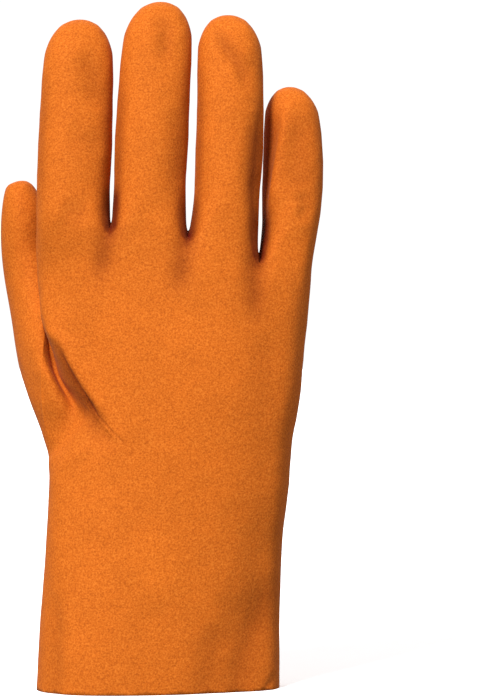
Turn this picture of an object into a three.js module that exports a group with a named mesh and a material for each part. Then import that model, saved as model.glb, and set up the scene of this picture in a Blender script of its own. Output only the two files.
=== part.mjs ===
// A PVC coated work glove for the right hand, standing on its open cuff with the fingers up.
// One coated shell: cuff, hand, four fingers and a thumb, hollow all through, with one wall thickness.
// Millimetres. +Z runs from the hem to the fingertips, -Y is the back of the hand, +Y the palm,
// and -X the thumb's side. The origin is under the middle of the glove, on the hem's plane.
//
// The outer face starts as a coarse net of four-sided faces whose points lie on the sections below.
// The net is settled so that its smooth surface passes through those points, and is then subdivided.
import * as THREE from "three";

// Driving sizes, in millimetres
const GLOVE_LENGTH = 270;
const CUFF_WIDTH = 95.5;
const CUFF_DEPTH = 54;
const KNUCKLE_WIDTH = 110.5;
const KNUCKLE_DEPTH = 26;
const FINGER_DEPTH = 23.5;
const THUMB_WIDTH = 19.5;
const THUMB_DEPTH = 26;
const THUMB_LENGTH = 113;
const HAND_ARCH = 6;
const WEB_THICKNESS = 24;
const WEB_DROP = 5;
const WALL = 1.4;
const FOLD_WIDTH = 6;
const FOLD_DEPTH = 4;

// How boxy the sections are: 2 is an ellipse
const CUFF_BOXINESS = 2.5;
const FINGER_BOXINESS = 2.15;
const TIP_BOXINESS = 2.3;

// Columns of the net across the hand, thumb side first: across runs from -1 to 1 over the width,
// and crest is the height of the finger roots there, as a share of GLOVE_LENGTH.
// Even columns are the hand's two edges and the three webs, and odd ones the fingers' middles.
const COLUMNS = [
  { across: -0.93, crest: 0.672 },
  { across: -0.74, crest: 0.675 },
  { across: -0.48, crest: 0.678 },
  { across: -0.2, crest: 0.674 },
  { across: 0.071, crest: 0.667 },
  { across: 0.33, crest: 0.655 },
  { across: 0.573, crest: 0.637 },
  { across: 0.79, crest: 0.629 },
  { across: 0.93, crest: 0.622 },
];
const EDGE_CRESTS = { thumb: 0.671, little: 0.619 };

// Sections of the hand from the hem up. rise is the share of the way to the finger roots. lean is the
// middle's sideways place as a share of KNUCKLE_WIDTH. girth, back and palm are shares of the width and
// depth on a straight line between the cuff and the knuckles. heel is the swelling of the palm under the
// thumb, as a share of CUFF_DEPTH. turn is in degrees about the height: the cuff's side under the little
// finger lies further from the back.
const HAND_SECTIONS = [
  { rise: 0, lean: -0.068, girth: 1, back: 0.5, palm: 0.5, heel: 0, turn: 12 },
  { rise: 0.07, lean: -0.065, girth: 0.983, back: 0.513, palm: 0.513, heel: 0, turn: 12 },
  { rise: 0.16, lean: -0.0605, girth: 0.96, back: 0.525, palm: 0.525, heel: 0, turn: 11 },
  { rise: 0.26, lean: -0.0516, girth: 0.934, back: 0.542, palm: 0.542, heel: 0.01, turn: 9 },
  { rise: 0.36, lean: -0.0427, girth: 0.916, back: 0.56, palm: 0.565, heel: 0.03, turn: 7 },
  { rise: 0.443, lean: -0.032, girth: 0.911, back: 0.58, palm: 0.605, heel: 0.06, turn: 4 },
  { rise: 0.513, lean: -0.0276, girth: 0.912, back: 0.6, palm: 0.635, heel: 0.09, turn: 2.5 },
  { rise: 0.589, lean: -0.0185, girth: 0.904, back: 0.622, palm: 0.668, heel: 0.04, turn: 1 },
  { rise: 0.665, lean: -0.006, girth: 0.911, back: 0.64, palm: 0.685, heel: 0, turn: 0 },
  { rise: 0.741, lean: -0.003, girth: 0.92, back: 0.645, palm: 0.68, heel: 0, turn: 0 },
  { rise: 0.805, lean: -0.009, girth: 0.942, back: 0.635, palm: 0.635, heel: 0, turn: 0 },
  { rise: 0.908, lean: -0.015, girth: 0.974, back: 0.63, palm: 0.55, heel: 0, turn: 0 },
];

// Fingers from the thumb's side. root, middle and tip are widths, rootAt and tipAt the two ends' places,
// and bow the sideways bend at mid length, all as shares of KNUCKLE_WIDTH. reach is the tip's height as a
// share of GLOVE_LENGTH. set, curl and depth are shares of FINGER_DEPTH: the root's offset, the tip's bend
// to the palm and the thickness.
const FINGERS = [
  {
    root: 0.25, middle: 0.255, tip: 0.226, rootAt: -0.372, tipAt: -0.351, bow: 0, reach: 0.974,
    set: -0.12, curl: 0.55, depth: 1,
  },
  {
    root: 0.246, middle: 0.253, tip: 0.228, rootAt: -0.1005, tipAt: -0.063, bow: -0.006, reach: 1,
    set: -0.16, curl: 0.6, depth: 1,
  },
  {
    root: 0.224, middle: 0.234, tip: 0.214, rootAt: 0.1625, tipAt: 0.178, bow: 0.0155, reach: 0.981,
    set: -0.08, curl: 0.55, depth: 0.98,
  },
  {
    root: 0.178, middle: 0.212, tip: 0.165, rootAt: 0.389, tipAt: 0.4, bow: 0.016, reach: 0.878,
    set: 0.28, curl: 0.5, depth: 0.92,
  },
];
const FINGER_TAPER = { root: 1.1, tip: 0.93 };
const FINGER_RINGS = [0.2, 0.4, 0.6, 0.8, 1];

// Fingertips: domes a little taller than half the finger's width, and the angles of their rings
const DOME = { tall: 1.5, rings: [27, 54] };

// The thumb's root opens in the hand between the two edges of these sections.
const THUMB_ROOT_FIRST = 6;
const THUMB_ROOT_LAST = 10;

// The hand beside the thumb, on those sections. lip is the edge of the back, with beside and next the
// lines of the back that follow it, valley the bottom between the lip and the thumb, and heel the bottom
// between the thumb and the palm. Places across are shares of KNUCKLE_WIDTH from the hand's middle, and
// depths shares of CUFF_DEPTH.
const THUMB_ROOT = [
  {
    lipAt: -0.37, lip: -0.315, besideAt: -0.287, nextAt: -0.214, valleyAt: -0.45, valley: -0.06,
    heelAt: -0.233, heel: 0.46,
  },
  {
    lipAt: -0.318, lip: -0.352, besideAt: -0.256, nextAt: -0.192, valleyAt: -0.373, valley: -0.2,
    heelAt: -0.24, heel: 0.44,
  },
  {
    lipAt: -0.37, lip: -0.33, besideAt: -0.295, nextAt: -0.212, valleyAt: -0.414, valley: -0.09,
    heelAt: -0.247, heel: 0.385,
  },
  {
    lipAt: -0.426, lip: -0.265, besideAt: -0.335, nextAt: -0.222, valleyAt: -0.45, valley: -0.03,
    heelAt: -0.258, heel: 0.33,
  },
  {
    lipAt: -0.463, lip: -0.188, besideAt: -0.36, nextAt: -0.23, valleyAt: -0.475, valley: 0.02,
    heelAt: -0.29, heel: 0.28,
  },
];
const THUMB_WEB = [
  { at: -0.43, depth: 0.18 },
  { at: -0.36, depth: 0.24 },
];

// The swelling between the thumb's root and its first section, for each point round the root from the
// thumb's side over the back: shares of THUMB_DEPTH, below 0 towards the back. at is how far up it lies.
const THUMB_SWELLING = {
  at: 0.45,
  by: [0, -0.06, -0.19, -0.14, -0.06, 0, 0, 0, 0, 0, 0.05, 0.08, 0.05, 0.02],
};

// Sections of the thumb from its root to its tip. outer and inner are the ends of each section on the
// side away from the hand and next to it: across as shares of KNUCKLE_WIDTH from the hand's middle, and
// heights as shares of THUMB_LENGTH above THUMB_FOOT. depth is the middle's place as a share of
// CUFF_DEPTH, thick a share of THUMB_DEPTH, and skew how far the back leans out from the hand, as a share
// of KNUCKLE_WIDTH.
const THUMB_FOOT = 0.3235;
const THUMB_SECTIONS = [
  { outerAt: -0.566, outerUp: 0.33, innerAt: -0.445, innerUp: 0.62, depth: 0.3, thick: 1.24, skew: 0.01 },
  { outerAt: -0.602, outerUp: 0.5, innerAt: -0.455, innerUp: 0.7, depth: 0.378, thick: 1.13, skew: 0.004 },
  { outerAt: -0.631, outerUp: 0.66, innerAt: -0.463, innerUp: 0.775, depth: 0.412, thick: 1, skew: 0 },
  { outerAt: -0.642, outerUp: 0.79, innerAt: -0.468, innerUp: 0.84, depth: 0.4, thick: 0.95, skew: 0 },
  { outerAt: -0.639, outerUp: 0.885, innerAt: -0.478, innerUp: 0.895, depth: 0.385, thick: 0.86, skew: 0 },
  { outerAt: -0.629, outerUp: 0.95, innerAt: -0.505, innerUp: 0.95, depth: 0.375, thick: 0.68, skew: 0 },
  { outerAt: -0.614, outerUp: 0.98, innerAt: -0.526, innerUp: 0.98, depth: 0.37, thick: 0.46, skew: 0 },
];
const THUMB_TIP = { at: -0.565, up: 0.996, depth: 0.37 };

// Folds and dents of the outer face, as bands between two points. side is the face that has it. Places
// across are shares of KNUCKLE_WIDTH from the hand's middle, and heights shares of GLOVE_LENGTH. width and
// depth are shares of FOLD_WIDTH and FOLD_DEPTH, and a depth below 0 is a raised ridge.
const FOLDS = [
  { side: "back", fromAt: -0.36, fromUp: 0.405, toAt: -0.28, toUp: 0.368, width: 0.9, depth: 0.4 },
  { side: "back", fromAt: 0.3, fromUp: 0.18, toAt: 0.244, toUp: 0.098, width: 1.9, depth: 0.3 },
  { side: "back", fromAt: 0.244, fromUp: 0.098, toAt: 0.18, toUp: 0, width: 1.9, depth: 0.4 },
  { side: "back", fromAt: -0.43, fromUp: 0.145, toAt: -0.43, toUp: 0, width: 1.3, depth: 0.25 },
  { side: "back", fromAt: -0.304, fromUp: 0.935, toAt: -0.304, toUp: 0.86, width: 0.9, depth: 0.25 },
  { side: "back", fromAt: -0.03, fromUp: 0.965, toAt: -0.03, toUp: 0.915, width: 0.9, depth: 0.22 },
  { side: "back", fromAt: 0.169, fromUp: 0.955, toAt: 0.169, toUp: 0.915, width: 0.9, depth: 0.25 },
  { side: "palm", fromAt: -0.2, fromUp: 0.635, toAt: -0.255, toUp: 0.602, width: 0.9, depth: 0.45 },
  { side: "palm", fromAt: -0.255, fromUp: 0.602, toAt: -0.34, toUp: 0.583, width: 0.9, depth: 0.35 },
  { side: "palm", fromAt: -0.4, fromUp: 0.4, toAt: -0.33, toUp: 0.28, width: 1.6, depth: -0.35 },
  { side: "palm", fromAt: -0.33, fromUp: 0.28, toAt: -0.24, toUp: 0.15, width: 1.4, depth: -0.4 },
  { side: "palm", fromAt: -0.22, fromUp: 0.125, toAt: -0.2, toUp: 0.11, width: 1.4, depth: 0.5 },
  { side: "palm", fromAt: -0.29, fromUp: 0.11, toAt: -0.3, toUp: 0, width: 0.9, depth: 0.4 },
];

const glove = new THREE.Group();
const cage = { points: [], faces: [] };

const mix = (from, to, share) => from + (to - from) * share;
const degrees = (angle) => (angle * Math.PI) / 180;

function addPoint(x, y, z) {
  cage.points.push(new THREE.Vector3(x, y, z));
  return cage.points.length - 1;
}

// Four-sided faces between two closed rings of the same count, facing out when both run anticlockwise
// as seen from the second ring's side. skip leaves faces out.
function bridge(lower, upper, skip = () => false) {
  for (let i = 0; i < lower.length; i++) {
    const next = (i + 1) % lower.length;
    if (!skip(i)) cage.faces.push([lower[i], lower[next], upper[next], upper[i]]);
  }
}

// Closes a ring of an even count with four-sided faces around one point.
function cap(ring, tip) {
  for (let i = 0; i < ring.length; i += 2) {
    cage.faces.push([ring[i], ring[i + 1], ring[(i + 2) % ring.length], tip]);
  }
}

// Half depth of a boxy oval at a place across it, for a half depth of one.
function ovalDepth(across, boxiness) {
  return (1 - Math.abs(across) ** boxiness) ** (1 / boxiness);
}

// A point on a boxy oval of unit half width and depth.
function ovalPoint(angle, boxiness) {
  const c = Math.cos(angle);
  const s = Math.sin(angle);
  return {
    x: Math.sign(c) * Math.abs(c) ** (2 / boxiness),
    y: Math.sign(s) * Math.abs(s) ** (2 / boxiness),
  };
}

// The hand's transverse arch: the little finger's side lies further from the back.
function archAt(across, rise) {
  return across > 0 ? HAND_ARCH * rise * rise * across * across : 0;
}

const LAST_COLUMN = COLUMNS.length - 1;
const SIDE_LITTLE = COLUMNS.length;
const SIDE_THUMB = 2 * COLUMNS.length + 1;
const backIndex = (column) => column;
const palmIndex = (column) => SIDE_LITTLE + 1 + (LAST_COLUMN - column);

// One section of the hand as a closed ring: the back from the thumb's side, the little finger's side,
// the palm back again, and the thumb's side.
function handRing(section, index) {
  const width = mix(CUFF_WIDTH, KNUCKLE_WIDTH, section.rise) * section.girth;
  const depth = mix(CUFF_DEPTH, KNUCKLE_DEPTH, section.rise);
  const middle = section.lean * KNUCKLE_WIDTH;
  const ring = [];
  const turn = degrees(section.turn);
  const swell = (across) => section.heel * CUFF_DEPTH * Math.exp(-(((across + 0.85) / 0.35) ** 2));
  const put = (across, crest, reach) => {
    const x = (across * width) / 2;
    const bulge = reach > 0 ? swell(across) : 0;
    const y = reach * ovalDepth(across, CUFF_BOXINESS) + archAt(across, section.rise) + bulge;
    const height = section.rise * crest * GLOVE_LENGTH;
    return addPoint(
      middle + x * Math.cos(turn) - y * Math.sin(turn),
      x * Math.sin(turn) + y * Math.cos(turn),
      height,
    );
  };
  const root = THUMB_ROOT[index - THUMB_ROOT_FIRST];
  const moved = root ? [root.lipAt, root.besideAt, root.nextAt] : [];
  COLUMNS.forEach(({ across, crest }, column) => {
    const at = column in moved ? (moved[column] * KNUCKLE_WIDTH - middle) / (width / 2) : across;
    ring[backIndex(column)] = put(at, crest, -section.back * depth);
    ring[palmIndex(column)] = put(across, crest, section.palm * depth);
  });
  ring[SIDE_LITTLE] = put(1, EDGE_CRESTS.little, 0);
  ring[SIDE_THUMB] = put(-1, EDGE_CRESTS.thumb, 0);
  return ring;
}

// Where each finger's middle and width are at a share of its length, from its root to its tip.
function fingerShape(finger, index) {
  const crest = COLUMNS[2 * index + 1].crest;
  const bend = 1.7;
  return (share) => {
    const s = Math.min(share, 1);
    const width =
      2 * (s - 0.5) * (s - 1) * finger.root - 4 * s * (s - 1) * finger.middle + 2 * s * (s - 0.5) * finger.tip;
    return {
      x: (mix(finger.rootAt, finger.tipAt, share) + 4 * s * (1 - s) * finger.bow) * KNUCKLE_WIDTH,
      y: (finger.set + finger.curl * s ** bend) * FINGER_DEPTH,
      z: mix(crest, finger.reach, share) * GLOVE_LENGTH,
      halfWidth: (width * KNUCKLE_WIDTH) / 2,
      halfDepth: (mix(FINGER_TAPER.root, FINGER_TAPER.tip, s) * finger.depth * FINGER_DEPTH) / 2,
    };
  };
}

// Angles of a finger ring's points: back from the thumb's side, little side, palm, thumb's side.
const FINGER_ANGLES = [225, 270, 315, 0, 45, 90, 135, 180].map(degrees);

function fingerPoint(at, angle, spread = 1) {
  const p = ovalPoint(angle, FINGER_BOXINESS);
  return [at.x + p.x * at.halfWidth * spread, at.y + p.y * at.halfDepth * spread, at.z];
}

// The ring where the fingers start: fingers' middles and the hand's edges on the fingers' sections, and
// the webs' two ends between them.
function rootRing(shapes) {
  const ring = [];
  const set = (slot, [x, y, z]) => {
    ring[slot] = addPoint(x, y, z);
  };
  shapes.forEach((shape, index) => {
    const at = shape(0);
    set(backIndex(2 * index + 1), fingerPoint(at, FINGER_ANGLES[1]));
    set(palmIndex(2 * index + 1), fingerPoint(at, FINGER_ANGLES[5]));
  });
  const first = { ...shapes[0](0), z: EDGE_CRESTS.thumb * GLOVE_LENGTH };
  const last = { ...shapes[shapes.length - 1](0), z: EDGE_CRESTS.little * GLOVE_LENGTH };
  set(backIndex(0), fingerPoint(first, FINGER_ANGLES[0]));
  set(palmIndex(0), fingerPoint(first, FINGER_ANGLES[6]));
  set(SIDE_THUMB, fingerPoint(first, FINGER_ANGLES[7]));
  set(backIndex(LAST_COLUMN), fingerPoint(last, FINGER_ANGLES[2]));
  set(palmIndex(LAST_COLUMN), fingerPoint(last, FINGER_ANGLES[4]));
  set(SIDE_LITTLE, fingerPoint(last, FINGER_ANGLES[3]));
  for (let column = 2; column < LAST_COLUMN; column += 2) {
    const web = webPoint(shapes, column);
    set(backIndex(column), [web.x, web.y - WEB_THICKNESS / 2, web.z - WEB_DROP]);
    set(palmIndex(column), [web.x, web.y + WEB_THICKNESS / 2, web.z - WEB_DROP]);
  }
  return ring;
}

// The top of the web between the two fingers beside an even column.
function webPoint(shapes, column) {
  const left = shapes[column / 2 - 1](0);
  const right = shapes[column / 2](0);
  return {
    x: (left.x + left.halfWidth + right.x - right.halfWidth) / 2,
    y: (left.y + right.y) / 2,
    z: COLUMNS[column].crest * GLOVE_LENGTH,
  };
}

function addFinger(shape, start) {
  const end = shape(1);
  const length = end.z - shape(0).z;
  const dome = (DOME.tall * end.halfWidth) / length;
  let lower = start;
  for (const ring of FINGER_RINGS) {
    const at = shape(ring * (1 - dome));
    const upper = FINGER_ANGLES.map((angle) => addPoint(...fingerPoint(at, angle)));
    bridge(lower, upper);
    lower = upper;
  }
  for (const angle of DOME.rings.map(degrees)) {
    const profile = ovalPoint(angle, TIP_BOXINESS);
    const at = shape(1 - dome * (1 - profile.y));
    const upper = FINGER_ANGLES.map((around) => addPoint(...fingerPoint(at, around, profile.x)));
    bridge(lower, upper);
    lower = upper;
  }
  cap(lower, addPoint(end.x, end.y, end.z));
}

// Moves the hand's points beside the thumb to the lip, the valley and the heel.
function shapeThumbRoot(rings) {
  const place = (ring, slot, at, depth) => {
    const p = cage.points[ring[slot]];
    p.x = at * KNUCKLE_WIDTH;
    p.y = depth * CUFF_DEPTH;
  };
  THUMB_ROOT.forEach((row, k) => {
    const ring = rings[THUMB_ROOT_FIRST + k];
    place(ring, backIndex(0), row.lipAt, row.lip);
    place(ring, SIDE_THUMB, row.valleyAt, row.valley);
    place(ring, palmIndex(2), row.heelAt, row.heel);
  });
  THUMB_WEB.forEach(({ at, depth }, column) => place(rings[THUMB_ROOT_LAST], palmIndex(column), at, depth));
}

function addSwelling(lower, upper) {
  const ring = lower.map((slot, k) => {
    const p = cage.points[slot].clone().lerp(cage.points[upper[k]], THUMB_SWELLING.at);
    return addPoint(p.x, p.y + THUMB_SWELLING.by[k] * THUMB_DEPTH, p.z);
  });
  bridge(lower, ring);
  return ring;
}

function addThumb(rings) {
  const between = rings.slice(THUMB_ROOT_FIRST + 1, THUMB_ROOT_LAST);
  const bottom = rings[THUMB_ROOT_FIRST];
  const top = rings[THUMB_ROOT_LAST];
  let lower = [
    bottom[palmIndex(0)],
    bottom[SIDE_THUMB],
    ...between.map((ring) => ring[SIDE_THUMB]),
    top[SIDE_THUMB],
    top[palmIndex(0)],
    top[palmIndex(1)],
    top[palmIndex(2)],
    ...between.map((ring) => ring[palmIndex(2)]).reverse(),
    bottom[palmIndex(2)],
    bottom[palmIndex(1)],
  ];
  const count = lower.length;
  const foot = THUMB_FOOT * GLOVE_LENGTH;
  const slim = THUMB_WIDTH / (0.178 * KNUCKLE_WIDTH);
  for (const s of THUMB_SECTIONS) {
    const middle = ((s.outerAt + s.innerAt) / 2) * KNUCKLE_WIDTH;
    const half = ((s.innerAt - s.outerAt) / 2) * KNUCKLE_WIDTH * slim;
    const up = foot + ((s.outerUp + s.innerUp) / 2) * THUMB_LENGTH;
    const tilt = ((s.innerUp - s.outerUp) / 2) * THUMB_LENGTH;
    const upper = [];
    for (let k = 0; k < count; k++) {
      const angle = Math.PI + (2 * Math.PI * k) / count;
      upper.push(
        addPoint(
          middle + Math.cos(angle) * half + Math.sin(angle) * s.skew * KNUCKLE_WIDTH,
          s.depth * CUFF_DEPTH + (Math.sin(angle) * s.thick * THUMB_DEPTH) / 2,
          up + Math.cos(angle) * tilt,
        ),
      );
    }
    if (s === THUMB_SECTIONS[0]) lower = addSwelling(lower, upper);
    bridge(lower, upper);
    lower = upper;
  }
  const tip = addPoint(THUMB_TIP.at * KNUCKLE_WIDTH, THUMB_TIP.depth * CUFF_DEPTH, foot + THUMB_TIP.up * THUMB_LENGTH);
  cap(lower, tip);
}

function buildCage() {
  const shapes = FINGERS.map(fingerShape);
  const rings = HAND_SECTIONS.map(handRing);
  shapeThumbRoot(rings);
  const roots = rootRing(shapes);
  [...rings, roots].forEach((ring, k, all) => {
    if (k === 0) return;
    const open = k > THUMB_ROOT_FIRST && k <= THUMB_ROOT_LAST;
    bridge(all[k - 1], ring, (i) => open && i >= palmIndex(2) && i < SIDE_THUMB);
  });
  const webs = [roots[SIDE_THUMB]];
  for (let column = 2; column < LAST_COLUMN; column += 2) {
    const web = webPoint(shapes, column);
    webs.push(addPoint(web.x, web.y, web.z));
  }
  webs.push(roots[SIDE_LITTLE]);
  shapes.forEach((shape, index) => {
    const left = 2 * index;
    addFinger(shape, [
      roots[backIndex(left)],
      roots[backIndex(left + 1)],
      roots[backIndex(left + 2)],
      webs[index + 1],
      roots[palmIndex(left + 2)],
      roots[palmIndex(left + 1)],
      roots[palmIndex(left)],
      webs[index],
    ]);
  });
  addThumb(rings);
  dropUnused(cage);
}

// Takes out the points that no face uses: the hand's own, where the thumb's root opens.
function dropUnused(net) {
  const used = [...new Set(net.faces.flat())].sort((a, b) => a - b);
  const place = new Map(used.map((i, k) => [i, k]));
  net.points = used.map((i) => net.points[i]);
  net.faces = net.faces.map((face) => face.map((i) => place.get(i)));
}

// The net's edges, and what meets at each point.
function connections({ points, faces }) {
  const edges = new Map();
  const around = points.map(() => ({ edges: [], faces: [] }));
  faces.forEach((face, f) => {
    face.forEach((a, i) => {
      const b = face[(i + 1) % face.length];
      const key = a < b ? a + "_" + b : b + "_" + a;
      if (!edges.has(key)) {
        edges.set(key, { ends: [a, b], faces: [] });
        around[a].edges.push(key);
        around[b].edges.push(key);
      }
      edges.get(key).faces.push(f);
      around[a].faces.push(f);
    });
  });
  return { edges, around };
}

const average = (list) => list.reduce((sum, p) => sum.add(p), new THREE.Vector3()).divideScalar(list.length);

// Where each point ends up on the smooth surface that endless subdivision gives.
function smoothPlaces(net, { edges, around }) {
  return net.points.map((point, i) => {
    const n = around[i].edges.length;
    const rim = around[i].edges.filter((key) => edges.get(key).faces.length === 1);
    const other = (key) => edges.get(key).ends.find((end) => end !== i);
    if (rim.length) {
      return average(rim.map((key) => net.points[other(key)]))
        .multiplyScalar(2)
        .addScaledVector(point, 4)
        .divideScalar(6);
    }
    const place = point.clone().multiplyScalar(n * n);
    around[i].edges.forEach((key) => place.addScaledVector(net.points[other(key)], 4));
    around[i].faces.forEach((f) => {
      const face = net.faces[f];
      place.add(net.points[face[(face.indexOf(i) + 2) % face.length]]);
    });
    return place.divideScalar(n * (n + 5));
  });
}

// Moves the net's points until the smooth surface passes through where they were.
function settle(net, rounds) {
  const links = connections(net);
  const targets = net.points.map((p) => p.clone());
  for (let round = 0; round < rounds; round++) {
    smoothPlaces(net, links).forEach((place, i) => net.points[i].add(targets[i]).sub(place));
  }
}

// One round of Catmull-Clark subdivision, with the hem as an open edge.
function subdivide(net) {
  const { edges, around } = connections(net);
  const facePoints = net.faces.map((face) => average(face.map((i) => net.points[i])));
  const edgePoints = new Map();
  for (const [key, edge] of edges) {
    const ends = edge.ends.map((i) => net.points[i]);
    const inner = edge.faces.length === 2 ? edge.faces.map((f) => facePoints[f]) : [];
    edgePoints.set(key, average([...ends, ...inner]));
  }
  const moved = net.points.map((point, i) => {
    const n = around[i].edges.length;
    const rim = around[i].edges.filter((key) => edges.get(key).faces.length === 1);
    if (rim.length) {
      return average(rim.map((key) => edgePoints.get(key)))
        .add(point)
        .divideScalar(2);
    }
    const faces = average(around[i].faces.map((f) => facePoints[f]));
    const middles = average(
      around[i].edges.map((key) => average(edges.get(key).ends.map((end) => net.points[end]))),
    );
    return faces
      .addScaledVector(middles, 2)
      .addScaledVector(point, n - 3)
      .divideScalar(n);
  });
  const points = [...moved, ...facePoints];
  const edgeIndex = new Map();
  for (const [key, place] of edgePoints) {
    edgeIndex.set(key, points.length);
    points.push(place);
  }
  const faces = [];
  net.faces.forEach((face, f) => {
    face.forEach((corner, i) => {
      const next = face[(i + 1) % face.length];
      const previous = face[(i + face.length - 1) % face.length];
      const key = (a, b) => edgeIndex.get(a < b ? a + "_" + b : b + "_" + a);
      faces.push([corner, key(corner, next), moved.length + f, key(previous, corner)]);
    });
  });
  return { points, faces };
}

// Outward directions at the net's points. The hem's stay level, so that its end stays flat.
function directions(net) {
  const sums = net.points.map(() => new THREE.Vector3());
  const across = new THREE.Vector3();
  const along = new THREE.Vector3();
  for (const face of net.faces) {
    across.subVectors(net.points[face[2]], net.points[face[0]]);
    along.subVectors(net.points[face[3]], net.points[face[1]]);
    const normal = across.clone().cross(along);
    face.forEach((i) => sums[i].add(normal));
  }
  const { edges } = connections(net);
  for (const edge of edges.values()) {
    if (edge.faces.length === 1) edge.ends.forEach((i) => sums[i].setZ(0));
  }
  return sums.map((sum) => sum.normalize());
}

// Presses the folds and dents into the face.
function fold(net) {
  const outward = directions(net);
  const place = new THREE.Vector2();
  const nearest = new THREE.Vector2();
  net.points.forEach((point, i) => {
    place.set(point.x / KNUCKLE_WIDTH, point.z / GLOVE_LENGTH);
    let depth = 0;
    for (const f of FOLDS) {
      const facing = (f.side === "back" ? -1 : 1) * outward[i].y;
      const from = new THREE.Vector2(f.fromAt, f.fromUp);
      const along = new THREE.Vector2(f.toAt, f.toUp).sub(from);
      const share = nearest.subVectors(place, from).dot(along) / along.lengthSq();
      nearest.copy(from).addScaledVector(along, Math.min(1, Math.max(0, share)));
      const apart = Math.hypot((place.x - nearest.x) * KNUCKLE_WIDTH, (place.y - nearest.y) * GLOVE_LENGTH);
      const weight = Math.min(1, Math.max(0, 2 * facing));
      depth += weight * f.depth * FOLD_DEPTH * Math.exp(-((apart / (f.width * FOLD_WIDTH)) ** 2));
    }
    point.addScaledVector(outward[i], -depth);
  });
}

// The closed shell: the outer face, the same face set in by the wall, and the flat end at the hem.
function shell(net, wall) {
  const outward = directions(net);
  const count = net.points.length;
  const points = [...net.points, ...net.points.map((p, i) => p.clone().addScaledVector(outward[i], -wall))];
  const triangles = [];
  const addFace = ([a, b, c, d]) => triangles.push(a, b, c, a, c, d);
  net.faces.forEach((face) => {
    addFace(face);
    addFace(face.map((i) => i + count).reverse());
  });
  for (const edge of connections(net).edges.values()) {
    if (edge.faces.length === 1) {
      const [a, b] = edge.ends;
      addFace([b, a, a + count, b + count]);
    }
  }
  const geometry = new THREE.BufferGeometry().setFromPoints(points);
  geometry.setIndex(triangles);
  geometry.computeVertexNormals();
  return geometry;
}

buildCage();
settle(cage, 5);
const outer = subdivide(cage);
fold(outer);
const coating = new THREE.MeshStandardMaterial({ color: 0xe07a2c, roughness: 0.85, metalness: 0 });
const gloveShell = new THREE.Mesh(shell(outer, WALL), coating);
gloveShell.name = "glove_shell";
glove.add(gloveShell);

// The glove's middle comes over the origin
const extent = new THREE.Box3().setFromObject(gloveShell);
const middle = extent.getCenter(new THREE.Vector3());
gloveShell.position.set(-middle.x, -middle.y, -extent.min.z);

export default glove;
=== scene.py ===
import math

import bpy
import numpy as np
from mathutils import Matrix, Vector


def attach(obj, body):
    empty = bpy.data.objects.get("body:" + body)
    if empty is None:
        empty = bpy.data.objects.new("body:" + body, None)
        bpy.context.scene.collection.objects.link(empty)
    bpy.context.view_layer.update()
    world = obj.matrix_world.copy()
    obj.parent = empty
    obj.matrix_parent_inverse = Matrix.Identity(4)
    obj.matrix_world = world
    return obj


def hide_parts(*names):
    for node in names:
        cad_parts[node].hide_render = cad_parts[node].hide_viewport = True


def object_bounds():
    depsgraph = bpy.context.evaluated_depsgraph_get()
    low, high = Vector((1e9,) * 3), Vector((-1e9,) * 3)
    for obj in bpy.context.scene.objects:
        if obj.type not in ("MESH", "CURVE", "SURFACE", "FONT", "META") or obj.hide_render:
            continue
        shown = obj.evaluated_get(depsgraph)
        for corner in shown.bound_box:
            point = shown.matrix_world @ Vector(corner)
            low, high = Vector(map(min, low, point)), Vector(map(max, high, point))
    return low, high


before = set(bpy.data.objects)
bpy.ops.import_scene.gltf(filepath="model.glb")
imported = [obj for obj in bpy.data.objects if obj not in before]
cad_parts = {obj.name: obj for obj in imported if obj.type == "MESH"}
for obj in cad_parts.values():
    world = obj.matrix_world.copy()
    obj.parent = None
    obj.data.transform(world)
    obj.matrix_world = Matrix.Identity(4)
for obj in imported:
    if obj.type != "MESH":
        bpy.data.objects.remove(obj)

# Lengths are in millimetres in the tables and in metres in the meshes.
MM = 0.001

# The share of the gap to the wanted surface that each round of settling closes
PULL = 0.8

# Above the hem the inner face lies this much further in, in millimetres, so that no fold reaches it. It gets
# there over the height of HEM.
SPARE = 1.0
HEM = 10 * MM

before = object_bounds()


# The smooth shell

def welded(obj):
    """Points and triangles of a mesh, with points in one place made one."""
    mesh = obj.data
    mesh.calc_loop_triangles()
    co = np.zeros(len(mesh.vertices) * 3)
    mesh.vertices.foreach_get("co", co)
    co = co.reshape(-1, 3)
    tri = np.zeros(len(mesh.loop_triangles) * 3, int)
    mesh.loop_triangles.foreach_get("vertices", tri)
    _, first, inverse = np.unique(np.round(co / MM, 3), axis=0, return_index=True, return_inverse=True)
    tri = inverse.reshape(-1)[tri].reshape(-1, 3)
    good = (tri[:, 0] != tri[:, 1]) & (tri[:, 1] != tri[:, 2]) & (tri[:, 2] != tri[:, 0])
    return co[first], tri[good]


def edge_table(tri, count):
    """The edges, the edges of each triangle, and how many triangles meet at each edge."""
    ends = np.stack([tri[:, [0, 1]], tri[:, [1, 2]], tri[:, [2, 0]]], axis=1).reshape(-1, 2)
    ends = np.sort(ends, axis=1)
    key, inverse, uses = np.unique(ends[:, 0] * count + ends[:, 1], return_inverse=True, return_counts=True)
    return np.stack([key // count, key % count], axis=1), inverse.reshape(-1, 3), uses


def neighbour_means(co, edges, rim):
    """Each point's neighbours added up and counted: along the open edge only, for points that lie on it."""
    on_rim = np.zeros(len(co), bool)
    on_rim[edges[rim].ravel()] = True
    total = np.zeros_like(co)
    number = np.zeros(len(co))
    for a, b in ((0, 1), (1, 0)):
        counts = rim | ~on_rim[edges[:, a]]
        np.add.at(total, edges[counts, a], co[edges[counts, b]])
        np.add.at(number, edges[counts, a], 1)
    return total, number, on_rim


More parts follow.
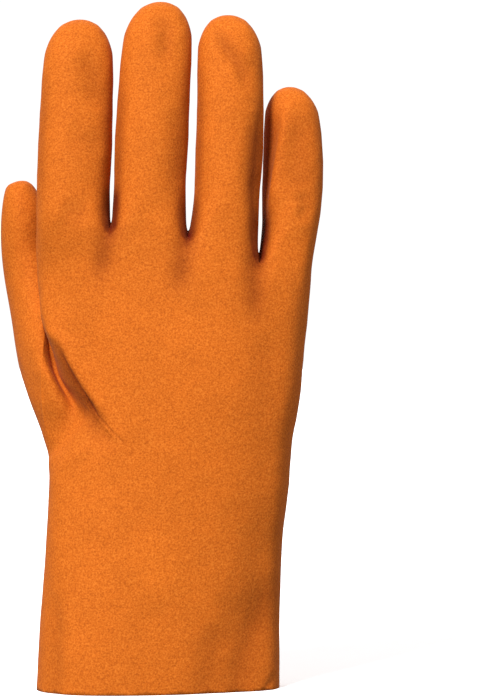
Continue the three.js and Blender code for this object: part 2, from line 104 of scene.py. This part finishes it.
def settled(co, tri, rounds):
    """Moves the points so that the smooth surface passes close to where they were."""
    edges, _, uses = edge_table(tri, len(co))
    target = co.copy()
    for _ in range(rounds):
        total, number, on_rim = neighbour_means(co, edges, uses == 1)
        mean = total / number[:, None]
        limit = np.where(on_rim[:, None], (2 * co + mean) / 3, (co + mean) / 2)
        co = co + PULL * (target - limit)
    return co


def loop_subdivided(co, tri):
    """One round of Loop subdivision."""
    edges, sides, uses = edge_table(tri, len(co))
    rim = uses == 1
    total, number, on_rim = neighbour_means(co, edges, rim)
    n = number[:, None]
    beta = np.where(n > 3, 3 / (8 * n), 3 / 16)
    inside = (1 - n * beta) * co + beta * total
    moved = np.where(on_rim[:, None], 0.75 * co + 0.125 * total, inside)
    ends = co[edges].sum(axis=1)
    across = np.zeros_like(ends)
    for side, corner in ((0, 2), (1, 0), (2, 1)):
        np.add.at(across, sides[:, side], co[tri[:, corner]])
    middle = np.where(rim[:, None], ends / 2, 0.375 * ends + 0.125 * across)
    s = sides + len(co)
    parts = [
        np.stack([tri[:, 0], s[:, 0], s[:, 2]], axis=1),
        np.stack([tri[:, 1], s[:, 1], s[:, 0]], axis=1),
        np.stack([tri[:, 2], s[:, 2], s[:, 1]], axis=1),
        s,
    ]
    return np.concatenate([moved, middle]), np.concatenate(parts)


def compact(co, tri):
    """Only the points that the triangles use."""
    used, inverse = np.unique(tri, return_inverse=True)
    return co[used], inverse.reshape(-1, 3)


def split_faces(co, tri):
    """The outer face and the inner face, without the flat ring between them at the hem."""
    tri = tri[~np.all(co[tri][:, :, 2] < 0.01 * MM, axis=1)]
    label = np.arange(len(co))
    while True:
        low = label[tri].min(axis=1)
        new = label.copy()
        for corner in range(3):
            np.minimum.at(new, tri[:, corner], low)
        new = new[new]
        if np.array_equal(new, label):
            break
        label = new
    faces = [compact(co, tri[label[tri[:, 0]] == which]) for which in np.unique(label[tri[:, 0]])]
    return sorted(faces, key=lambda face: -np.ptp(face[0], axis=0).sum())


def point_normals(co, tri):
    """The way each point faces: the mean of its triangles by area."""
    normal = np.zeros_like(co)
    flat = np.cross(co[tri[:, 1]] - co[tri[:, 0]], co[tri[:, 2]] - co[tri[:, 0]])
    for corner in range(3):
        np.add.at(normal, tri[:, corner], flat)
    return normal / np.linalg.norm(normal, axis=1)[:, None]


def rim_loop(co, tri):
    """The points on the open edge, in order round it."""
    edges, _, uses = edge_table(tri, len(co))
    points = np.unique(edges[uses == 1])
    middle = co[points].mean(axis=0)
    angle = np.arctan2(co[points, 1] - middle[1], co[points, 0] - middle[0])
    return points[np.argsort(angle)]


# Creases, folds, seams and dents of the outer face. Each is a line of (across, up) points, and side is the
# face that has it, or both. The two widths are how far it spreads to the left and to the right of the way
# along it, the depth is how far in it goes or, below 0, how far out, and the last number how much painted
# shade it lays on the colour, from 0 to 1, or below 0 how much painted light makes it paler. The painted
# shade stands for the shadow that falls in the creases, folds, hollows and webs and beside the fingers; the
# painted light stands for light on the raised seams and bulges.
FOLDS = [
    # The crease that follows the thumb's root, and the seam that goes on from it
    (
        "back", 1.7, 4.6, 2.0, 0.8,
        [(-41, 138.3), (-39.1, 132.5), (-36.8, 127.1), (-33.7, 122.1), (-29.8, 116.2), (-25.9, 109.7),
         (-19.7, 102.7)],
    ),
    ("back", 1.5, 4.0, 0.8, 0.2, [(-27.5, 107.7), (-21.3, 100.7), (-15.8, 95.3)]),
    ("back", 0.4, 0.4, 0.3, 0.25, [(-29, 113.1), (-24.4, 107.7), (-18.2, 101.5), (-10.8, 94.2)]),
    (
        "back", 0.45, 0.45, -0.32, -0.1,
        [(-45.1, 141.8), (-45.9, 131.7), (-46.1, 119.3), (-45.7, 109.3), (-44.7, 101.5), (-42.2, 96.1)],
    ),
    # The cuff's soft folds
    ("back", 7.0, 4.5, 1.0, 0.3, [(43.8, 46.5), (39.9, 31.8), (35.3, 20.2), (32.6, 10.5), (30.6, 0.8)]),
    ("back", 6.0, 6.0, 0.8, 0.2, [(24.4, 27.9), (19.8, 14.4), (18.2, 0.8)]),
    ("back", 3.0, 3.0, 0.8, 0.15, [(-40.3, 39.5), (-39.5, 20.2), (-39.9, 0.8)]),
    ("back", 1.2, 1.2, 0.5, 0.2, [(45.7, 6.2), (41.5, 0.8)]),
    ("back", 9.0, 9.0, -0.6, -0.12, [(-11.2, 58.9), (0.4, 51.2), (2.4, 31.8)]),
    # Dents of the fingers, and painted shadows on them and beside them
    ("back", 3.5, 5.0, 1.0, 0.16, [(-30.6, 250.3), (-25.1, 240.2), (-22.8, 224.7)]),
    ("back", 5.0, 5.0, 0.8, 0.12, [(-36.8, 216.2), (-21.3, 210.8)]),
    ("back", 3.0, 4.0, 1.1, 0.2, [(-3.5, 265), (2.7, 258), (1.2, 243.3)]),
    ("back", 3.0, 5.0, 0.8, 0.14, [(6.6, 227.8), (8.2, 210), (5.5, 190.6)]),
    ("back", 3.5, 2.0, 1.5, 0.3, [(21.3, 259.6), (24.4, 252.6), (31.4, 242.5), (34.5, 232.5)]),
    ("back", 1.6, 4.0, -0.5, 0, [(26.8, 261.1), (29.1, 252.6), (36.8, 244.1)]),
    ("back", 4.0, 4.0, 0.9, 0.3, [(37.6, 225.5), (36.8, 210), (36.1, 186.7)]),
    ("back", 3.0, 3.0, 0.3, 0.3, [(-18.9, 241), (-18.2, 210), (-18.9, 184.8)]),
    ("back", 3.0, 3.0, 0.3, 0.3, [(12, 244.9), (12.4, 210), (11.3, 180.9)]),
    ("back", 2.5, 2.5, 0.2, 0.22, [(-44.9, 244.9), (-46.5, 213.9), (-46.5, 184.8)]),
    ("back", 2.5, 2.5, 0.2, 0.22, [(-14.3, 244.9), (-16.2, 210), (-17.4, 184.8)]),
    ("back", 2.5, 2.5, 0.2, 0.25, [(16.3, 244.9), (14.8, 210), (13.6, 182.9)]),
    (
        "back", 4.0, 1.6, -2.0, 0,
        [(50.4, 232.5), (48.8, 224.7), (48.1, 218.1), (46.5, 209.2), (44.2, 195.7), (41.5, 182.1)],
    ),
    ("back", 6.5, 6.5, 0.9, 0.22, [(55.8, 230.1), (54.3, 210), (55.8, 188.7)]),
    ("back", 2.8, 2.8, 1.0, 0.15, [(55.8, 195.3), (57.4, 188.3), (54.7, 182.1)]),
    ("back", 4.0, 4.0, 1.3, 0.6, [(43.8, 235.2), (41.9, 213.9), (39.9, 192.2), (38.4, 171.3)]),
    # Hollows under the webs with painted shade in them, painted shade over the webs, and the hand's side that
    # painted shade makes darker
    ("back", 4.0, 4.0, 0.9, 0.5, [(-18.6, 198.4), (-19.3, 182.1), (-21.3, 171.3), (-23.6, 155.8)]),
    ("back", 4.5, 4.5, 0.9, 0.5, [(11.7, 196.4), (10.9, 179.4), (9.3, 169.3), (6.6, 151.9)]),
    ("back", 4.5, 4.5, 1.1, 0.5, [(39.9, 188.7), (38, 171.3), (37.2, 159.6), (38, 140.3)]),
    ("back", 5.5, 5.5, 0.9, 0.14, [(-38.3, 187.5), (-27.5, 185.2)]),
    # These three rows are painted shade only: they press nothing in.
    ("both", 2.2, 2.2, 0, 0.75, [(-18.2, 198.4), (-18.6, 183.3), (-18.9, 175.1)]),
    ("both", 2.2, 2.2, 0, 0.75, [(12, 194.5), (11.3, 180.2), (10.9, 172)]),
    ("both", 2.2, 2.2, 0, 0.75, [(39.9, 188.7), (39.2, 172), (38.4, 163.5)]),
    ("back", 7.0, 7.0, 0.5, 0.12, [(42.3, 140.3), (39.9, 120.9), (39.9, 101.5)]),
    # The palm's creases, the ridge below the thumb and the seams
    ("palm", 1.2, 2.4, 0.6, 0.4, [(-14.3, 177.7), (-16.2, 167.9), (-22.1, 160.8), (-28.8, 156.5)]),
    (
        "palm", 3.0, 3.0, 1.2, 0.45,
        [(-28.4, 144.7), (-21.7, 143.5), (-16.2, 139.6), (-11.9, 133.3), (-10.3, 119.1), (-11.5, 108.1)],
    ),
    ("palm", 4.5, 2.5, -0.7, 0, [(-31.2, 112.8), (-26.9, 97.1), (-24.9, 81.4), (-23.7, 57.8), (-21.7, 38.1)]),
    ("palm", 3.5, 3.5, 0.4, 0.3, [(-27.2, 114.8), (-21, 97.1), (-18.6, 81.4), (-17.8, 57.8), (-16.2, 38.1)]),
    ("palm", 0.9, 0.9, 0.7, 0.35, [(-43.8, 136.4), (-45.3, 131.7), (-47.7, 125.4)]),
    ("palm", 1.5, 1.5, -0.7, 0, [(-15.4, 35), (-15.8, 29.5), (-17.8, 26.7), (-20.2, 29.5), (-19.8, 35)]),
    ("palm", 1.2, 2.6, 0.8, 0.35, [(-24.9, 29.5), (-26.5, 14.5), (-26.1, -1.2)]),
    ("palm", 0.45, 0.45, -0.32, -0.1, [(-52.2, 120.7), (-48.3, 102.6), (-43, 92), (-37.1, 75.1)]),
    (
        "palm", 0.45, 0.45, -0.32, -0.1,
        [(-52.4, 97.9), (-48.5, 89.2), (-40.6, 73.9), (-35.1, 67.2), (-25.3, 50.3), (-22.9, 42.4),
         (-20.2, 27.9)],
    ),
]

# Folds narrower than FINE have the mesh made finer beside them. A fold that comes nearer to the hem than
# AT_HEM runs out through it. Elsewhere it fades over the share FADE of its length at each end. These are in
# millimetres, apart from the share.
FINE = 1.0
AT_HEM = 3
FADE = 0.25


def distance_to_line(place, line):
    """Each point's distance to a bent line, how far along that is, and whether it is on the left."""
    line = np.array(line, float)
    lengths = np.linalg.norm(np.diff(line, axis=0), axis=1)
    reached = np.concatenate([[0], np.cumsum(lengths)])
    best = np.full(len(place), 1e9)
    along = np.zeros(len(place))
    left = np.zeros(len(place), bool)
    for k, length in enumerate(lengths):
        way = line[k + 1] - line[k]
        off = place - line[k]
        share = np.clip((off @ way) / length**2, 0, 1)
        apart = np.linalg.norm(off - share[:, None] * way, axis=1)
        nearer = apart < best
        best[nearer] = apart[nearer]
        along[nearer] = (reached[k] + share[nearer] * length) / reached[-1]
        left[nearer] = (way[0] * off[:, 1] - way[1] * off[:, 0] > 0)[nearer]
    return best, along, left


def faces_side(normal, side):
    """How much each point faces the fold's side, from 0 where it is edge on to 1 from 30 degrees on."""
    if side == "both":
        return np.ones(len(normal))
    return np.clip(2 * (normal[:, 1] if side == "palm" else -normal[:, 1]), 0, 1)


def folded(co, normal):
    """How far in millimetres the folds press each point in, and how much painted shade, or below 0 painted
    light, they lay on its colour.
    """
    place = co[:, [0, 2]] / MM
    depth = np.zeros(len(co))
    painted_shade_and_light = np.zeros(len(co))
    for side, to_left, to_right, deep, shade, line in FOLDS:
        apart, along, left = distance_to_line(place, line)
        width = np.where(left, to_left, to_right)
        at_hem = min(line[0][1], line[-1][1]) < AT_HEM
        ends = np.clip(np.minimum(along, 1 - (0 if at_hem else along)) / FADE, 0, 1)
        share = faces_side(normal, side) * ends * np.exp(-((apart / width) ** 2))
        depth += deep * share
        painted_shade_and_light += shade * share
    return depth, painted_shade_and_light


def refined(co, tri):
    """Halves the edges beside the fine folds. The hem's own edges stay whole."""
    place = co[tri].mean(axis=1)[:, [0, 2]] / MM
    flat = np.cross(co[tri[:, 1]] - co[tri[:, 0]], co[tri[:, 2]] - co[tri[:, 0]])
    flat /= np.linalg.norm(flat, axis=1)[:, None] + 1e-12
    near = np.zeros(len(tri), bool)
    for side, to_left, to_right, _, _, line in FOLDS:
        if max(to_left, to_right) < FINE:
            near |= (distance_to_line(place, line)[0] < 2 * FINE) & (faces_side(flat, side) > 0)
    edges, sides, uses = edge_table(tri, len(co))
    split = np.zeros(len(edges), bool)
    split[sides[near].ravel()] = True
    split[uses == 1] = False
    middle = np.cumsum(split) - 1 + len(co)
    cut = split[sides]
    number = cut.sum(axis=1)
    # Corners are turned so that the only whole edge comes last, or the only split one first.
    turn = np.where(number == 1, cut.argmax(axis=1), (cut.argmin(axis=1) + 1) % 3)
    order = (np.arange(3)[None, :] + turn[:, None]) % 3
    a, b, c = np.take_along_axis(tri, order, axis=1).T
    ab, bc, ca = middle[np.take_along_axis(sides, order, axis=1)].T
    one, two, three = number == 1, number == 2, number == 3
    parts = [tri[number == 0]]
    for rows, corners in (
        (one, (a, ab, c)), (one, (ab, b, c)),
        (two, (a, ab, c)), (two, (ab, bc, c)), (two, (ab, b, bc)),
        (three, (a, ab, ca)), (three, (ab, b, bc)), (three, (ca, bc, c)), (three, (ab, bc, ca)),
    ):
        parts.append(np.stack([corner[rows] for corner in corners], axis=1))
    return np.concatenate([co, co[edges[split]].mean(axis=1)]), np.concatenate(parts)


def build_shell(node):
    """The smooth, folded shell: both faces, and the flat ring that closes them at the hem."""
    outer, inner = split_faces(*welded(node))
    outer = (settled(*outer, rounds=1), outer[1])
    inner = (settled(*inner, rounds=1), inner[1])
    for _ in range(2):
        outer = loop_subdivided(*outer)
        inner = loop_subdivided(*inner)
    co, tri = refined(*refined(*outer))
    normal = point_normals(co, tri)
    depth, painted_shade_and_light = folded(co, normal)
    co = co - normal * (depth * MM)[:, None]
    inward = point_normals(*inner)
    pressed = np.maximum(folded(inner[0], -inward)[0], 0) + SPARE
    inside = inner[0] + inward * (pressed * np.clip(inner[0][:, 2] / HEM, 0, 1) * MM)[:, None]
    rim_out = rim_loop(co, tri)
    rim_in = rim_loop(*inner)
    start = np.argmin(np.linalg.norm(inner[0][rim_in] - co[rim_out[0]], axis=1))
    rim_in = np.roll(rim_in, -start) + len(co)
    co[rim_out, 2] = 0
    inside[rim_in - len(co), 2] = 0
    points = np.concatenate([co, inside])
    next_out, next_in = np.roll(rim_out, -1), np.roll(rim_in, -1)
    halves = (next_out, rim_out, rim_in), (next_out, rim_in, next_in)
    ring = np.concatenate([np.stack(half, axis=1) for half in halves])
    triangles = np.concatenate([tri, inner[1] + len(co), ring])
    mesh = bpy.data.meshes.new("glove")
    mesh.from_pydata(points.tolist(), [], triangles.tolist())
    mesh.update()
    mesh.polygons.foreach_set("use_smooth", [True] * (len(triangles) - len(ring)) + [False] * len(ring))
    # The painted shade and painted light of the folds go on the outer face as the point attribute shade; the
    # inner face gets none.
    shade = mesh.attributes.new("shade", "FLOAT", "POINT")
    shade.data.foreach_set("value", np.concatenate([painted_shade_and_light, np.zeros(len(inside))]))
    obj = bpy.data.objects.new("glove", mesh)
    bpy.context.scene.collection.objects.link(obj)
    return obj


# The coating: matt, finely grained, and with painted shade in the creases

def coating():
    """The coating's material. The mesh's shade attribute says where painted shade makes it darker, or below 0
    where painted light makes it paler.
    """
    mat = bpy.data.materials.new("pvc_coating")
    mat.use_nodes = True
    nodes, links = mat.node_tree.nodes, mat.node_tree.links
    shader = nodes["Principled BSDF"]
    shader.inputs["Roughness"].default_value = 0.78
    shader.inputs["Specular IOR Level"].default_value = 0.08
    shader.inputs["Sheen Weight"].default_value = 0.025
    shader.inputs["Sheen Roughness"].default_value = 0.45
    shader.inputs["Sheen Tint"].default_value = (1.0, 0.82, 0.74, 1)
    where = nodes.new("ShaderNodeTexCoord")

    def noise(scale, detail):
        n = nodes.new("ShaderNodeTexNoise")
        n.inputs["Scale"].default_value = scale
        n.inputs["Detail"].default_value = detail
        n.inputs["Roughness"].default_value = 0.6
        links.new(where.outputs["Object"], n.inputs["Vector"])
        return n.outputs["Fac"]

    def ramp(source, stops):
        r = nodes.new("ShaderNodeValToRGB")
        while len(r.color_ramp.elements) < len(stops):
            r.color_ramp.elements.new(0.5)
        for element, (at, colour) in zip(r.color_ramp.elements, stops):
            element.position = at
            element.color = (*colour, 1)
        links.new(source, r.inputs["Fac"])
        return r.outputs["Color"]

    def multiplied(first):
        m = nodes.new("ShaderNodeMix")
        m.data_type = "RGBA"
        m.blend_type = "MULTIPLY"
        links.new(first, m.inputs[6])
        return m

    def bump(source, strength, distance):
        b = nodes.new("ShaderNodeBump")
        b.inputs["Strength"].default_value = strength
        b.inputs["Distance"].default_value = distance
        links.new(source, b.inputs["Height"])
        return b

    speckle = ramp(
        noise(1500, 2),
        [(0.3, (0.41, 0.083, 0.006)), (0.5, (0.565, 0.125, 0.0095)), (0.7, (0.68, 0.178, 0.019))],
    )
    blotch = ramp(noise(70, 3), [(0.3, (0.93, 0.93, 0.93)), (0.7, (1, 1, 1))])
    colour = multiplied(speckle)
    colour.inputs["Factor"].default_value = 1
    links.new(blotch, colour.inputs[7])
    # Painted shade: the shade attribute multiplies the colour towards dark brown, and below 0 painted light
    # makes it paler.
    shade = nodes.new("ShaderNodeAttribute")
    shade.attribute_name = "shade"
    painted_shading = multiplied(colour.outputs[2])
    painted_shading.clamp_factor = False
    painted_shading.inputs[7].default_value = (0.25, 0.11, 0.08, 1)
    links.new(shade.outputs["Fac"], painted_shading.inputs["Factor"])
    links.new(painted_shading.outputs[2], shader.inputs["Base Color"])
    grain = bump(noise(1300, 3), 0.5, 0.25 * MM)
    waves = bump(noise(110, 2), 0.35, 1.2 * MM)
    links.new(waves.outputs["Normal"], grain.inputs["Normal"])
    links.new(grain.outputs["Normal"], shader.inputs["Normal"])
    return mat


glove = build_shell(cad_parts["glove_shell"])
glove.data.materials.append(coating())
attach(glove, "root")
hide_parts("glove_shell")


# The floor, the light and the camera

def plain(name, colour, glow):
    """A matt material that also glows with its own colour."""
    mat = bpy.data.materials.new(name)
    mat.use_nodes = True
    shader = mat.node_tree.nodes["Principled BSDF"]
    shader.inputs["Base Color"].default_value = (*colour, 1)
    shader.inputs["Roughness"].default_value = 1
    shader.inputs["Specular IOR Level"].default_value = 0
    shader.inputs["Emission Color"].default_value = (*colour, 1)
    shader.inputs["Emission Strength"].default_value = glow
    return mat


bpy.ops.mesh.primitive_plane_add(size=40, location=(0, 0, 0))
floor = bpy.context.object
floor.name = "floor"
floor.data.materials.append(plain("floor_white", (0.94, 0.94, 0.94), 0.5))
floor.visible_diffuse = False
floor.visible_glossy = False


def sun(name, azimuth, elevation, strength, spread):
    """A distant lamp, its angles in degrees. Azimuth 0 shines from the front and 90 from the right."""
    light = bpy.data.lights.new(name, "SUN")
    light.energy = strength
    light.angle = math.radians(spread)
    obj = bpy.data.objects.new(name, light)
    bpy.context.scene.collection.objects.link(obj)
    obj.rotation_euler = (math.radians(90 - elevation), 0, math.radians(azimuth))


sun("key", -26, 42, 4.6, 12)
sun("fill", 60, 15, 0.4, 60)
sun("back", 190, 35, 1.0, 60)

# The surroundings light the glove softly, and are white as the camera sees them.
world = bpy.data.worlds.new("studio")
bpy.context.scene.world = world
world.use_nodes = True
wn, wl = world.node_tree.nodes, world.node_tree.links
around = wn["Background"]
around.inputs["Color"].default_value = (1, 1, 1, 1)
around.inputs["Strength"].default_value = 0.36
seen = wn.new("ShaderNodeBackground")
seen.inputs["Color"].default_value = (1, 1, 1, 1)
seen.inputs["Strength"].default_value = 1.05
path = wn.new("ShaderNodeLightPath")
either = wn.new("ShaderNodeMixShader")
wl.new(path.outputs["Is Camera Ray"], either.inputs[0])
wl.new(around.outputs[0], either.inputs[1])
wl.new(seen.outputs[0], either.inputs[2])
wl.new(either.outputs[0], wn["World Output"].inputs["Surface"])

bpy.context.scene.view_settings.view_transform = "Standard"

# The camera looks level at the middle of the picture, 1.25 m away. The glove stands left of that middle. Its
# right end and its foot are places in the picture, and PIXEL is the width of one pixel at the glove.
PIXEL = 0.3933 * MM
PICTURE_WIDTH = 500
PICTURE_HEIGHT = 698
GLOVE_RIGHT = 323.7
GLOVE_FOOT = 687
DISTANCE = 1.25
SENSOR = 36
middle_x = before[1][0] - (GLOVE_RIGHT - PICTURE_WIDTH / 2) * PIXEL
middle_z = (GLOVE_FOOT - PICTURE_HEIGHT / 2) * PIXEL
camera = bpy.data.objects.new("camera", bpy.data.cameras.new("camera"))
bpy.context.scene.collection.objects.link(camera)
camera.location = (middle_x, -DISTANCE, middle_z)
camera.rotation_euler = (math.pi / 2, 0, 0)
camera.data.sensor_width = SENSOR
camera.data.lens = SENSOR * DISTANCE / (PICTURE_HEIGHT * PIXEL)
camera.data.clip_end = 100
bpy.context.scene.camera = camera
